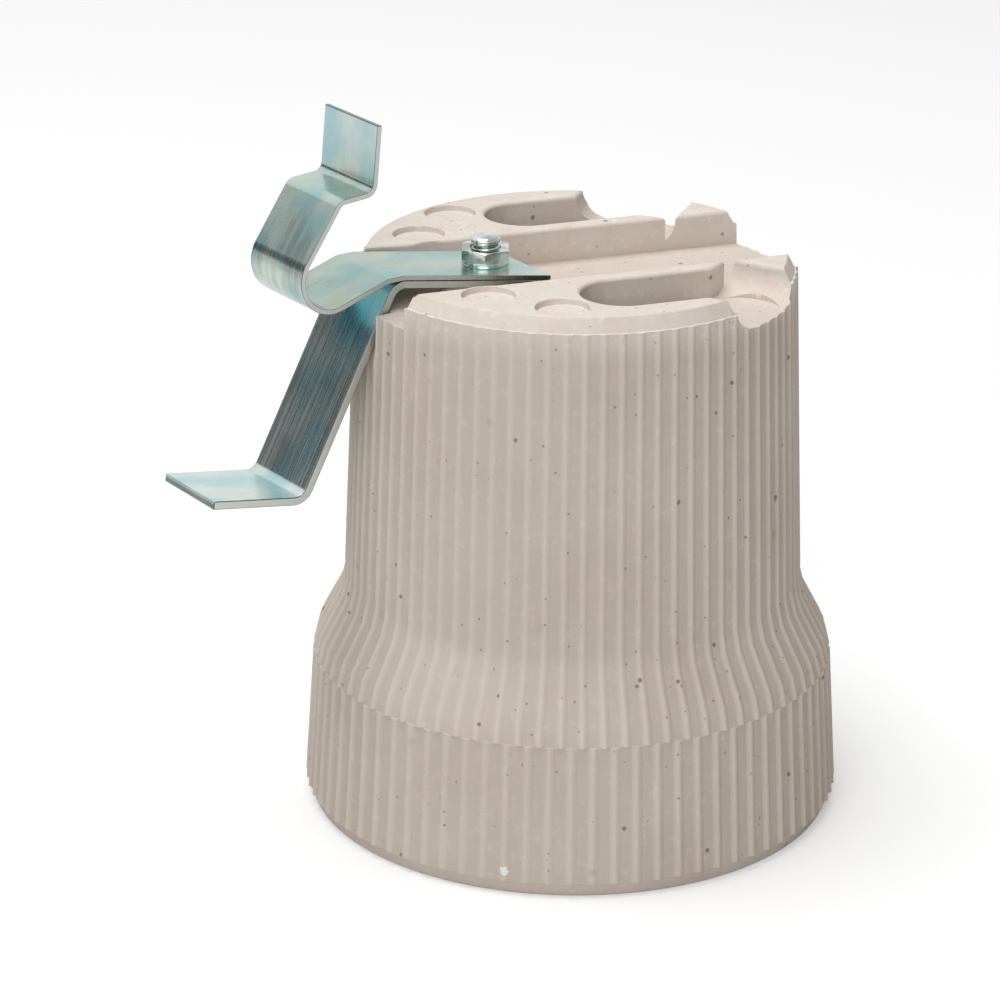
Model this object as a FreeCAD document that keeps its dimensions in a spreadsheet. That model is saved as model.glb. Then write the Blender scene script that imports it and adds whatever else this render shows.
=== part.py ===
import FreeCAD, Part
import math
import os
import re

import Sketcher

# A large screw lamp holder of raw porcelain, standing on its mouth, with a two-leaf clip bracket.
# Millimetres. Z is the lamp's axis, and the mouth rim lies in Z = 0. The top channel runs along X:
# the clip bracket leaves it towards -X, and the wires leave the two pockets towards +X.

SIZES = {
    "mouth_radius": (32.5, "outer radius at the mouth rim, over the ribs"),
    "lip_height": (1.8, "plain rounded lip below the ribs"),
    "lip_step": (0.5, "how far the lip draws in at the very bottom"),
    "band_height": (18.6, "height of the wide band round the mouth"),
    "band_top_radius": (31.4, "radius over the ribs at the top of the band"),
    "flare_height": (10.2, "height of the curved step from the band to the neck"),
    "neck_radius": (27.45, "radius over the ribs at the foot of the neck"),
    "top_radius": (25.95, "radius over the ribs at their upper ends"),
    "land_height": (68.2, "height of the flat top face"),
    "bevel_height": (1.7, "height of the bevel between the ribs' upper ends and the top face"),
    "land_radius": (24.6, "radius of the flat top face inside its bevel"),
    "rib_count": (78, "ribs round the body, in each band"),
    "rib_depth": (0.36, "height of a rib above its flute"),
    "rib_foot_share": (0.5, "share of the pitch that a rib's foot covers, the flutes having the rest"),
    "ledge": (0.15, "step between the flutes and the plain rims"),
    "mouth_bore_radius": (25.0, "bore of the mouth, round the lamp's neck"),
    "mouth_bore_depth": (9.5, "depth of the wide mouth bore"),
    "mouth_chamfer": (1.2, "lead-in chamfer of the mouth bore"),
    "shell_outer_radius": (20.5, "outer radius of the threaded shell"),
    "shell_wall": (0.6, "sheet thickness of the threaded shell"),
    "shell_clearance": (0.5, "room between the shell and its porcelain bore"),
    "shell_inset": (1.5, "from the floor of the mouth bore up to the shell's lower edge"),
    "shell_curl": (0.8, "outward curl of the shell's lower edge"),
    "shell_neck": (6.0, "plain length of the shell above its thread"),
    "shell_shoulder": (1.0, "how far the shell draws in above its thread"),
    "shell_flange_radius": (17.2, "inner radius of the shell's flange on the porcelain floor"),
    "lug_width": (8.0, "width of the shell's fixing lug"),
    "lug_reach": (11.0, "distance from the axis to the end of the lug"),
    "chamber_radius": (6.3, "radius of the contact chamber above the shell"),
    "pocket_depth": (16.2, "depth of the wire pockets below the top face"),
    "partition": (10.0, "porcelain between the pockets' floor and the shell's seat"),
    "pocket_centre": (16.05, "distance of each pocket's middle from the channel's middle"),
    "pocket_half_width": (4.85, "half width of a pocket, and the radius of its ends"),
    "pocket_start": (-0.5, "centre of a pocket's rounded left end"),
    "pocket_step": (10.0, "where a pocket's deep part ends"),
    "pocket_end": (14.0, "centre of a pocket's rounded right end"),
    "exit_depth": (3.9, "depth of the floor where the wires leave, below the top face"),
    "exit_half_width": (6.9, "half width of a wire exit through the rim"),
    "exit_corner": (3.2, "radius of the exit's lower corners"),
    "exit_bearing": (-51.0, "bearing of the front wire exit from +X, in degrees"),
    "channel_half_width": (9.0, "half width of the channel across the top"),
    "channel_depth": (4.25, "depth of the channel below the top face"),
    "pad_radius": (5.2, "radius of the raised pad that carries the bracket"),
    "pad_rise": (2.35, "height of the bracket's pad above the channel's floor"),
    "recess_radius": (3.1, "radius of the shallow round recesses in the top face"),
    "recess_depth": (0.7, "depth of the shallow round recesses"),
    "bracket_x": (-11.3, "place of the bracket's screw along the channel"),
    "seat_angle": (162.0, "bearing of the leaves' seats from +X, in degrees"),
    "seat_half_near": (4.9, "seat edge in front of the screw"),
    "seat_half_far": (4.5, "seat edge behind the screw"),
    "seat_reach": (9.4, "from the screw to the fold, along the front edge"),
    "seat_tail": (7.4, "from the screw to the seat's free end, along the front edge"),
    "fold_angle": (104.5, "bearing of the folds across the leaves, in degrees"),
    "lower_leaf_thickness": (1.0, "sheet thickness of the lower leaf"),
    "lower_leg_length": (26.8, "straight length of the lower leaf's leg"),
    "lower_leg_angle": (61.9, "slope of the lower leg below level, in degrees"),
    "lower_tab_length": (12.2, "length of the lower leaf's tab"),
    "lower_tab_angle": (9.4, "slope of the lower tab above level, in degrees"),
    "lower_fold_radius": (2.0, "bend radius of the lower leaf, at mid sheet"),
    "upper_leaf_thickness": (0.6, "sheet thickness of the upper leaf"),
    "upper_fold_place": (2.2, "from the seat's fold line to the upper arm's fold"),
    "upper_arm_length": (18.05, "upper arm from its fold to the loop's corner"),
    "upper_arm_angle": (18.4, "slope of the upper arm below level, in degrees"),
    "upper_loop_radius": (3.9, "radius of the upper leaf's loop, at mid sheet"),
    "upper_rise_length": (19.4, "from the loop's corner to the step"),
    "upper_rise_angle": (55.9, "slope of the rising arm above level, in degrees"),
    "upper_step_length": (4.5, "length of the step below the upper tab"),
    "upper_step_angle": (4.6, "slope of the step above level, in degrees"),
    "upper_tab_length": (7.9, "length of the upright tab"),
    "upper_tab_lean": (5.4, "lean of the tab past upright, towards the seat, in degrees"),
    "upper_fold_radius": (1.3, "bend radius of the upper leaf, at mid sheet"),
    "leg_relief": (0.5, "room between the lower leg and the bevelled channel mouth"),
    "bracket_screw_radius": (1.75, "thread radius of the bracket's screw"),
    "bracket_screw_stand": (1.15, "how far the bracket's screw stands above its nut"),
    "bracket_head_depth": (6.0, "from the shell's seat up to the face that the screw's head pulls against"),
    "bracket_hole_radius": (2.0, "clearance hole of the bracket's screw"),
    "head_radius": (3.1, "head radius of the screws driven from inside"),
    "head_height": (2.3, "head height of the screws driven from inside"),
    "head_room": (0.5, "room round a screw head in its counterbore"),
    "lock_washer_radius": (2.75, "outer radius of the lock washer"),
    "lock_washer_thickness": (0.8, "thickness of the lock washer"),
    "lock_washer_gap": (0.7, "gap where the lock washer is split"),
    "nut_flats": (5.5, "width across the flats of the bracket's nut"),
    "nut_height": (1.8, "height of the bracket's nut"),
    "nut_chamfer": (0.35, "chamfer round the nut's faces"),
    "slot_width": (1.0, "width of the driver slots"),
    "slot_depth": (1.1, "depth of the driver slots"),
    "block_length": (11.4, "length of a terminal block"),
    "block_width": (8.4, "width of a terminal block"),
    "block_height": (5.0, "height of a terminal block"),
    "block_start": (-2.2, "left end of a terminal block"),
    "wire_screw_x": (1.5, "place of a wire screw along its pocket"),
    "wire_screw_radius": (2.0, "thread radius of a wire screw"),
    "wire_screw_length": (5.8, "length of a wire screw under its head"),
    "wire_head_radius": (3.4, "head radius of a wire screw"),
    "wire_head_height": (2.6, "head height of a wire screw"),
    "fixing_x": (6.6, "place of a block's fixing screw along its pocket"),
    "fixing_y": (14.3, "distance of a fixing screw from the channel's middle"),
    "fixing_radius": (1.7, "thread radius of a fixing screw"),
    "fixing_hole_radius": (1.95, "clearance hole of a fixing screw"),
    "live_head_depth": (4.6, "from the shell's seat up to the face that the live fixing screw pulls against"),
    "clamp_side": (6.4, "side of a square wire clamp"),
    "clamp_thickness": (1.2, "thickness of a wire clamp"),
    "thread_clearance": (0.05, "radial clearance of a screw in its tapped hole"),
    "clamp_clearance": (0.3, "radial clearance of a wire screw in its clamp"),
    "strip_thickness": (0.8, "thickness of the live contact strip"),
    "strip_half_width": (3.0, "half width of the live strip where it crosses to the middle"),
    "strip_room": (0.3, "room round the live strip in its slot"),
    "guide_radius": (5.0, "outer radius of the centre contact's guide"),
    "guide_bore": (4.3, "bore of the centre contact's guide"),
    "guide_mouth": (3.25, "mouth radius of the centre contact's guide"),
    "guide_length": (8.0, "length of the guide below the pockets' floor"),
    "guide_base": (0.8, "thickness of the guide's lower end"),
    "plunger_radius": (3.2, "radius of the centre contact's stem"),
    "plunger_collar": (4.25, "radius of the centre contact's collar"),
    "plunger_collar_height": (1.4, "height of the centre contact's collar"),
    "plunger_reach": (5.6, "how far the contact stands out of its guide"),
    "plunger_spigot_radius": (2.0, "radius of the spigot inside the spring"),
    "plunger_spigot_height": (2.4, "height of the spigot inside the spring"),
    "spring_wire_radius": (0.3, "wire radius of the contact spring"),
    "spring_radius": (3.0, "mean radius of the contact spring"),
    "spring_turns": (4, "turns of the contact spring"),
}

# Levels that hang from another level or size: the one they start from, up or down, and by how much.
LEVELS = {
    "rib_top": ("land_height", "-", "bevel_height"),
    "channel_floor": ("land_height", "-", "channel_depth"),
    "exit_floor": ("land_height", "-", "exit_depth"),
    "pocket_floor": ("land_height", "-", "pocket_depth"),
    "shell_top": ("pocket_floor", "-", "partition"),
    "shell_thread_end": ("shell_top", "-", "shell_neck"),
    "shell_bottom": ("mouth_bore_depth", "+", "shell_inset"),
    "guide_bottom": ("pocket_floor", "-", "guide_length"),
    "bracket_screw_seat": ("shell_top", "+", "bracket_head_depth"),
    "live_screw_seat": ("shell_top", "+", "live_head_depth"),
    "pad_height": ("channel_floor", "+", "pad_rise"),
    "upper_leaf_foot": ("pad_height", "+", "lower_leaf_thickness"),
    "seat_top": ("upper_leaf_foot", "+", "upper_leaf_thickness"),
    "nut_foot": ("seat_top", "+", "lock_washer_thickness"),
    "nut_top": ("nut_foot", "+", "nut_height"),
    "bracket_screw_top": ("nut_top", "+", "bracket_screw_stand"),
}

FLARE_STEPS = 4
PHASE_UPPER = 0.5
SPRING_STEPS = 8
SPRING_SIDES = 5
RECESS_PLACES = ((-15.3, 12.25), (-9.0, 19.1))
SIDES = {"live": -1, "neutral": 1}

doc = FreeCAD.newDocument("lamp_holder")


def make_sheet():
    """The spreadsheet that holds every driving dimension."""
    table = doc.addObject("Spreadsheet::Sheet", "Sizes")
    for row, (name, (value, meaning)) in enumerate(SIZES.items(), 1):
        table.set(f"A{row}", meaning)
        table.set(f"B{row}", str(value))
        table.setAlias(f"B{row}", name)
    doc.recompute()
    return table


sheet = make_sheet()


def size(name):
    """The value of one named size, read from the sheet, or of a level worked out from them."""
    if name in LEVELS:
        start, way, step = LEVELS[name]
        return size(start) + size(step) if way == "+" else size(start) - size(step)
    return float(sheet.get(name))


def formula(text):
    """A formula over size and level names, as the document's expressions reach them."""
    def reach(match):
        word = match.group(0)
        if word in LEVELS:
            return formula("({} {} {})".format(*LEVELS[word]))
        return f"Sizes.{word}" if word in SIZES else word
    return re.sub(r"[a-z][a-z_]*", reach, str(text))


def tie(item, **sizes):
    """Bind an object's properties to formulas over the sheet."""
    for name, text in sizes.items():
        item.setExpression(name, formula(text))


def move(item, place):
    """Bind an object's position to three formulas."""
    for axis, text in zip("xyz", place):
        item.setExpression(f"Placement.Base.{axis}", formula(text))


def origin_plane(body, role):
    """One of a body's own origin planes."""
    for feature in body.Origin.OriginFeatures:
        if feature.Role == role:
            return feature
    raise ValueError(role)


def outline_sketch(body, name, plane, outline):
    """A closed outline of straight lines, each corner held by two formulas."""
    sketch = body.newObject("Sketcher::SketchObject", name)
    sketch.AttachmentSupport = [(origin_plane(body, plane), "")]
    sketch.MapMode = "FlatFace"
    count = len(outline)
    ring = [
        FreeCAD.Vector(20 + 9 * math.cos(math.tau * k / count), 20 + 9 * math.sin(math.tau * k / count), 0)
        for k in range(count)
    ]
    for k in range(count):
        sketch.addGeometry(Part.LineSegment(ring[k], ring[(k + 1) % count]))
    for k in range(count):
        sketch.addConstraint(Sketcher.Constraint("Coincident", k, 2, (k + 1) % count, 1))
    for k, (across, along) in enumerate(outline):
        if across == "0":
            sketch.addConstraint(Sketcher.Constraint("PointOnObject", k, 1, -2))
        else:
            index = sketch.addConstraint(Sketcher.Constraint("DistanceX", -1, 1, k, 1, ring[k].x))
            sketch.renameConstraint(index, f"across_{k}")
            sketch.setExpression(f"Constraints.across_{k}", formula(across))
        if along == "0":
            sketch.addConstraint(Sketcher.Constraint("PointOnObject", k, 1, -1))
        else:
            index = sketch.addConstraint(Sketcher.Constraint("DistanceY", -1, 1, k, 1, ring[k].y))
            sketch.renameConstraint(index, f"along_{k}")
            sketch.setExpression(f"Constraints.along_{k}", formula(along))
    return sketch


def turned(name, outline, place=("0", "0", "0")):
    """A body turned about its own upright axis from an outline of (radius, height) corners."""
    body = doc.addObject("PartDesign::Body", name)
    sketch = outline_sketch(body, name + "_outline", "XZ_Plane", outline)
    doc.recompute()
    turning = body.newObject("PartDesign::Revolution", name + "_turning")
    turning.Profile = sketch
    turning.ReferenceAxis = (sketch, ["V_Axis"])
    turning.Angle = 360
    body.Tip = turning
    move(body, place)
    return body


def box(name, length, width, height, corner):
    """A block given by three lengths and its lowest corner, all formulas."""
    block = doc.addObject("Part::Box", name)
    tie(block, Length=length, Width=width, Height=height)
    move(block, corner)
    return block


def rod(name, radius, height, foot):
    """An upright cylinder given by formulas."""
    cylinder = doc.addObject("Part::Cylinder", name)
    tie(cylinder, Radius=radius, Height=height)
    move(cylinder, foot)
    return cylinder


def joined(name, items):
    """Several objects fused into one."""
    fused = doc.addObject("Part::MultiFuse", name)
    fused.Shapes = items
    return fused


def cut(name, base, tool):
    """One object with another taken out of it."""
    result = doc.addObject("Part::Cut", name)
    result.Base = base
    result.Tool = tool
    return result


def feature(name, shape, place=FreeCAD.Placement()):
    """A shape that is worked out in code from the sheet's sizes, set down at a place."""
    item = doc.addObject("Part::Feature", name)
    item.Shape = shape
    item.Placement = place
    return item


def at_bearing(degrees, length):
    """A level vector at a bearing from +X."""
    angle = math.radians(degrees)
    return FreeCAD.Vector(length * math.cos(angle), length * math.sin(angle), 0)


# The porcelain body

def ribbed_ring(height, radius, phase):
    """One level section through the ribs: a flat flute, then a rib with two sloping flanks."""
    pitch = math.tau / size("rib_count")
    root = radius * (1 - size("rib_depth") / size("mouth_radius"))
    foot = pitch * size("rib_foot_share") / 2
    corners = []
    for k in range(int(size("rib_count"))):
        middle = (k + phase) * pitch
        for turn, reach in ((-foot, root), (0, radius), (foot, root)):
            corners.append(FreeCAD.Vector(
                reach * math.cos(middle + turn), reach * math.sin(middle + turn), height))
    return Part.makePolygon(corners + corners[:1])


def smooth_step(share):
    """An S-curve from 0 to 1 with level ends."""
    return share * share * (3 - 2 * share)


def ribbed_body():
    """The outside of the casting: lip, ribbed band, ribbed flare and neck, and bevelled top."""
    root_share = 1 - size("rib_depth") / size("mouth_radius")
    lip_radius = size("mouth_radius") * root_share - size("ledge")
    lip = Part.makeCone(lip_radius - size("lip_step"), lip_radius, size("lip_height"))
    band = Part.makeLoft([
        ribbed_ring(size("lip_height"), size("mouth_radius"), 0),
        ribbed_ring(size("band_height"), size("band_top_radius"), 0),
    ], True, True)
    rings = []
    for step in range(FLARE_STEPS + 1):
        share = step / FLARE_STEPS
        drop = (size("band_top_radius") - size("neck_radius")) * smooth_step(share)
        rings.append(ribbed_ring(
            size("band_height") + size("flare_height") * share, size("band_top_radius") - drop, PHASE_UPPER))
    rings.append(ribbed_ring(size("rib_top"), size("top_radius"), PHASE_UPPER))
    neck = Part.makeLoft(rings, True, True)
    bevel = Part.makeCone(
        size("top_radius") * root_share - size("ledge"), size("land_radius"),
        size("land_height") - size("rib_top"), FreeCAD.Vector(0, 0, size("rib_top")))
    return feature("ribbed_body", lip.multiFuse([band, neck, bevel]))


def lamp_cavity():
    """What the mouth, the shell's bore and the contact chamber take out of the casting."""
    bore = "shell_outer_radius + shell_clearance"
    roof = "pocket_floor + strip_thickness + strip_room"
    return turned("lamp_cavity", [
        ("0", "-mouth_chamfer"),
        ("mouth_bore_radius + 2 * mouth_chamfer", "-mouth_chamfer"),
        ("mouth_bore_radius", "mouth_chamfer"),
        ("mouth_bore_radius", "mouth_bore_depth"),
        (bore, "mouth_bore_depth"),
        (bore, "shell_top"),
        ("chamber_radius", "shell_top"),
        ("chamber_radius", roof),
        ("0", roof),
    ])


def wire_pocket(side, sign):
    """A wire pocket with its shallow right end and its exit through the rim."""
    middle = f"{sign} * pocket_centre"
    edge = f"{sign} * pocket_centre - pocket_half_width"
    above = "land_height - pocket_floor + 1"
    shallow = "land_height - exit_floor + 1"
    deep = joined(f"{side}_pocket_deep", [
        rod(f"{side}_pocket_left", "pocket_half_width", above, ("pocket_start", middle, "pocket_floor")),
        box(f"{side}_pocket_bay", "pocket_step - pocket_start", "2 * pocket_half_width", above,
            ("pocket_start", edge, "pocket_floor")),
    ])
    slope = joined(f"{side}_pocket_shallow", [
        rod(f"{side}_pocket_right", "pocket_half_width", shallow, ("pocket_end", middle, "exit_floor")),
        box(f"{side}_pocket_lane", "pocket_end - pocket_step", "2 * pocket_half_width", shallow,
            ("pocket_step", edge, "exit_floor")),
    ])
    return joined(f"{side}_pocket", [deep, slope, wire_exit(side, sign)])


def wire_exit(side, sign):
    """The notch through the rim, with rounded lower corners, level and pointing outwards."""
    half = size("exit_half_width")
    corner = size("exit_corner")
    low = size("exit_floor")
    high = size("land_height") + 1
    bearing = -sign * size("exit_bearing")
    start = math.hypot(size("pocket_end"), size("pocket_centre")) - size("pocket_half_width")
    side_edge = [
        FreeCAD.Vector(0, half, high),
        FreeCAD.Vector(0, half, low + corner),
        FreeCAD.Vector(0, half - corner, low),
        FreeCAD.Vector(0, -half + corner, low),
        FreeCAD.Vector(0, -half, low + corner),
        FreeCAD.Vector(0, -half, high),
    ]
    tangent = corner * (1 - math.sqrt(0.5))
    edges = [
        Part.makeLine(side_edge[0], side_edge[1]),
        Part.Arc(side_edge[1], FreeCAD.Vector(0, half - tangent, low + tangent), side_edge[2]).toShape(),
        Part.makeLine(side_edge[2], side_edge[3]),
        Part.Arc(side_edge[3], FreeCAD.Vector(0, tangent - half, low + tangent), side_edge[4]).toShape(),
        Part.makeLine(side_edge[4], side_edge[5]),
        Part.makeLine(side_edge[5], side_edge[0]),
    ]
    notch = Part.Face(Part.Wire(edges)).extrude(FreeCAD.Vector(size("mouth_radius") - start, 0, 0))
    turn = FreeCAD.Rotation(FreeCAD.Vector(0, 0, 1), bearing)
    return feature(f"{side}_exit", notch, FreeCAD.Placement(at_bearing(bearing, start), turn))


def top_channel():
    """The channel across the top face, left standing round the bracket's pad."""
    slab = box("channel_slab", "2 * mouth_radius", "2 * channel_half_width", "land_height - channel_floor + 1",
               ("-mouth_radius", "-channel_half_width", "channel_floor"))
    pad = rod("channel_pad", "pad_radius", "pad_height - channel_floor", ("bracket_x", "0", "channel_floor"))
    return cut("top_channel", slab, pad)


def channel_mouth():
    """The bevel at the channel's left mouth that the bracket's lower leg passes."""
    across = size("leg_relief") + size("lower_leaf_thickness") / 2
    slope = math.radians(size("lower_leg_angle"))
    start = lower_fold_place()
    length = (size("land_height") - size("channel_floor")) + size("lower_leg_length")
    block = Part.makeBox(length, leaf_width() + 2 * size("leg_relief"), length,
                         FreeCAD.Vector(-length / 2, -leaf_width() - size("leg_relief"), -across))
    turn = FreeCAD.Rotation(FreeCAD.Vector(0, 1, 0), math.degrees(slope))
    block.Placement = FreeCAD.Placement(FreeCAD.Vector(start, 0, lower_leaf_level()), turn).multiply(
        block.Placement)
    keep = Part.makeBox(length * 2, length * 4, size("pad_height") + 1 - size("shell_top"),
                        FreeCAD.Vector(-length, -length * 2, size("shell_top")))
    return feature("channel_mouth", block.common(keep), leaf_frame())


def inner_bores():
    """The screw holes, counterbores and the live strip's slot."""
    down = "shell_top - 1"
    holes = [
        rod("bracket_hole", "bracket_hole_radius", "land_height - shell_top + 2", ("bracket_x", "0", down)),
        rod("bracket_counterbore", "head_radius + head_room", "bracket_screw_seat - shell_top + 1",
            ("bracket_x", "0", down)),
        rod("live_hole", "fixing_hole_radius", "pocket_floor - shell_top + 2", ("fixing_x", "-fixing_y", down)),
        rod("live_counterbore", "head_radius + head_room", "live_screw_seat - shell_top + 1",
            ("fixing_x", "-fixing_y", down)),
        rod("neutral_hole", "fixing_hole_radius", "pocket_floor - shell_top + 2",
            ("fixing_x", "fixing_y", down)),
        box("strip_slot", "2 * strip_half_width + 2 * strip_room", "pocket_centre", "strip_thickness + strip_room",
            ("-strip_half_width - strip_room", "-pocket_centre", "pocket_floor")),
    ]
    return holes


def recesses():
    """The shallow round marks in the top face, two on each land."""
    marks = []
    for place in RECESS_PLACES:
        for sign in SIDES.values():
            marks.append(rod(f"recess_{len(marks)}", "recess_radius", "recess_depth + 1",
                             (place[0], sign * place[1], "land_height - recess_depth")))
    return marks


def porcelain_body():
    """The one-piece casting."""
    tools = [lamp_cavity(), top_channel(), channel_mouth()]
    for side, sign in SIDES.items():
        tools.append(wire_pocket(side, sign))
    tools += inner_bores()
    tools += recesses()
    return cut("porcelain_body", ribbed_body(), joined("body_hollows", tools))


# The clip bracket

def leaf_width():
    """The leaves' width along their folds, from the seat's width and the folds' slant."""
    slant = math.radians(size("seat_angle") - size("fold_angle"))
    return (size("seat_half_near") + size("seat_half_far")) / math.sin(slant)


def leaf_frame():
    """The leaves' own frame: origin at the front end of the seat's fold, X out along the arms."""
    along = at_bearing(size("seat_angle"), size("seat_reach"))
    across = at_bearing(size("seat_angle") + 90, size("seat_half_near"))
    place = FreeCAD.Vector(size("bracket_x"), 0, 0) + along + across
    return FreeCAD.Placement(place, FreeCAD.Rotation(FreeCAD.Vector(0, 0, 1), size("fold_angle") + 90))


def lower_leaf_level():
    """The middle of the lower leaf's sheet on its pad."""
    return size("pad_height") + size("lower_leaf_thickness") / 2


def lower_fold_place():
    """How far past the fold line the lower leg's corner lies, at mid sheet."""
    return size("lower_fold_radius") * math.tan(math.radians(size("lower_leg_angle")) / 2)


def bent_sheet(start, runs, radius_of, thickness, width):
    """A sheet bent along a path of straight runs, given as (length, slope in degrees), and widened."""
    corners = [FreeCAD.Vector(start[0], 0, start[1])]
    for length, slope in runs:
        angle = math.radians(slope)
        corners.append(corners[-1] + FreeCAD.Vector(length * math.cos(angle), 0, length * math.sin(angle)))
    sides = []
    for offset in (thickness / 2, -thickness / 2):
        edges = []
        start_point = corners[0] + normal(corners[0], corners[1]) * offset
        last = start_point
        for k in range(1, len(corners) - 1):
            first, middle, final = fillet_points(corners[k - 1], corners[k], corners[k + 1], radius_of[k], offset)
            if last.distanceToPoint(first) > 1e-6:
                edges.append(Part.makeLine(last, first))
            edges.append(Part.Arc(first, middle, final).toShape())
            last = final
        end_point = corners[-1] + normal(corners[-2], corners[-1]) * offset
        edges.append(Part.makeLine(last, end_point))
        sides.append((edges, start_point, end_point))
    (upper, upper_start, upper_end), (lower, lower_start, lower_end) = sides
    closing = [Part.makeLine(upper_start, lower_start), Part.makeLine(upper_end, lower_end)]
    wire = Part.Wire(Part.__sortEdges__(upper + lower + closing))
    return Part.Face(wire).extrude(FreeCAD.Vector(0, -width, 0))


def normal(first, second):
    """The upward side of a run from first to second, in the leaf's upright plane."""
    run = (second - first).normalize()
    return FreeCAD.Vector(-run.z, 0, run.x)


def fillet_points(before, corner, after, radius, offset):
    """Start, middle and end of the arc round one corner of an offset path."""
    run_in = (corner - before).normalize()
    run_out = (after - corner).normalize()
    turn = run_in.getAngle(run_out)
    reach = radius * math.tan(turn / 2)
    first = corner - run_in * reach
    side = 1 if normal(before, corner).dot(run_out) > 0 else -1
    centre = first + normal(before, corner) * radius * side
    inward = (corner - centre).normalize()
    bend = radius - side * offset
    return (centre - normal(before, corner) * side * bend, centre + inward * bend,
            centre - normal(corner, after) * side * bend)


def seat_plate(thickness, level):
    """The seat of a leaf: a slanted plate with the screw's hole."""
    width = leaf_width()
    length = size("seat_reach") + size("seat_tail")
    turn = math.radians(size("seat_angle") - size("fold_angle") - 90 + 180)
    slide = FreeCAD.Vector(length * math.cos(turn), length * math.sin(turn), 0)
    near = FreeCAD.Vector(0, 0, level)
    far = FreeCAD.Vector(0, -width, level)
    plate = Part.Face(Part.makePolygon([near, far, far + slide, near + slide, near])).extrude(
        FreeCAD.Vector(0, 0, thickness))
    centre = leaf_frame().inverse().multVec(FreeCAD.Vector(size("bracket_x"), 0, level))
    return plate.cut(Part.makeCylinder(size("bracket_hole_radius"), thickness, centre))


def lower_leaf():
    """The thicker leaf: seat, long leg down the side and tab."""
    thickness = size("lower_leaf_thickness")
    corner = lower_fold_place()
    runs = [
        (corner, 0),
        (size("lower_leg_length"), -size("lower_leg_angle")),
        (size("lower_tab_length"), size("lower_tab_angle")),
    ]
    radii = {1: size("lower_fold_radius"), 2: size("lower_fold_radius")}
    arm = bent_sheet((0, lower_leaf_level()), runs, radii, thickness, leaf_width())
    shape = arm.fuse(seat_plate(thickness, size("pad_height"))).removeSplitter()
    return feature("clip_lower_leaf", shape, leaf_frame())


def upper_leaf():
    """The thinner leaf: seat, drooping arm, loop, rising arm, step and upright tab."""
    thickness = size("upper_leaf_thickness")
    level = size("upper_leaf_foot")
    runs = [
        (size("upper_fold_place"), 0),
        (size("upper_arm_length"), -size("upper_arm_angle")),
        (size("upper_rise_length"), 180 - size("upper_rise_angle")),
        (size("upper_step_length"), 180 - size("upper_step_angle")),
        (size("upper_tab_length"), 90 + size("upper_tab_lean")),
    ]
    fold = size("upper_fold_radius")
    radii = {1: 2 * fold, 2: size("upper_loop_radius"), 3: fold, 4: fold}
    arm = bent_sheet((0, level + thickness / 2), runs, radii, thickness, leaf_width())
    shape = arm.fuse(seat_plate(thickness, level)).removeSplitter()
    return feature("clip_upper_leaf", shape, leaf_frame())


def bracket_fasteners():
    """The bracket's screw, put in from below, with its lock washer and nut on top."""
    lead = "bracket_screw_radius * 0.25"
    screw = turned("bracket_screw_blank", [
        ("0", "bracket_screw_seat - head_height"),
        ("head_radius", "bracket_screw_seat - head_height"),
        ("head_radius", "bracket_screw_seat"),
        ("bracket_screw_radius", "bracket_screw_seat"),
        ("bracket_screw_radius", f"bracket_screw_top - {lead}"),
        (f"bracket_screw_radius - {lead}", "bracket_screw_top"),
        ("0", "bracket_screw_top"),
    ], ("bracket_x", "0", "0"))
    slot = box("bracket_screw_slot", "slot_width", "2 * head_radius", "slot_depth",
               ("bracket_x - slot_width / 2", "-head_radius", "bracket_screw_seat - head_height"))
    cut("bracket_screw", screw, slot)

    washer = turned("lock_washer_ring", [
        ("bracket_hole_radius", "seat_top"),
        ("lock_washer_radius", "seat_top"),
        ("lock_washer_radius", "nut_foot"),
        ("bracket_hole_radius", "nut_foot"),
    ], ("bracket_x", "0", "0"))
    split = box("lock_washer_split", "lock_washer_radius", "lock_washer_gap", "lock_washer_thickness",
                ("bracket_x", "-lock_washer_gap / 2", "seat_top"))
    cut("lock_washer", washer, split)

    hexagon = doc.addObject("Part::Prism", "nut_hexagon")
    hexagon.Polygon = 6
    tie(hexagon, Circumradius="nut_flats / sqrt(3)", Height="nut_height")
    move(hexagon, ("bracket_x", "0", "nut_foot"))
    inner = "bracket_screw_radius + thread_clearance"
    blank = turned("nut_blank", [
        (inner, "nut_foot"),
        ("nut_flats / sqrt(3) - nut_chamfer", "nut_foot"),
        ("nut_flats / sqrt(3)", "nut_foot + nut_chamfer / 2"),
        ("nut_flats / sqrt(3)", "nut_top - nut_chamfer / 2"),
        ("nut_flats / sqrt(3) - nut_chamfer", "nut_top"),
        (inner, "nut_top"),
    ], ("bracket_x", "0", "0"))
    nut = doc.addObject("Part::Common", "bracket_nut")
    nut.Base = blank
    nut.Tool = hexagon


# The threaded shell

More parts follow.
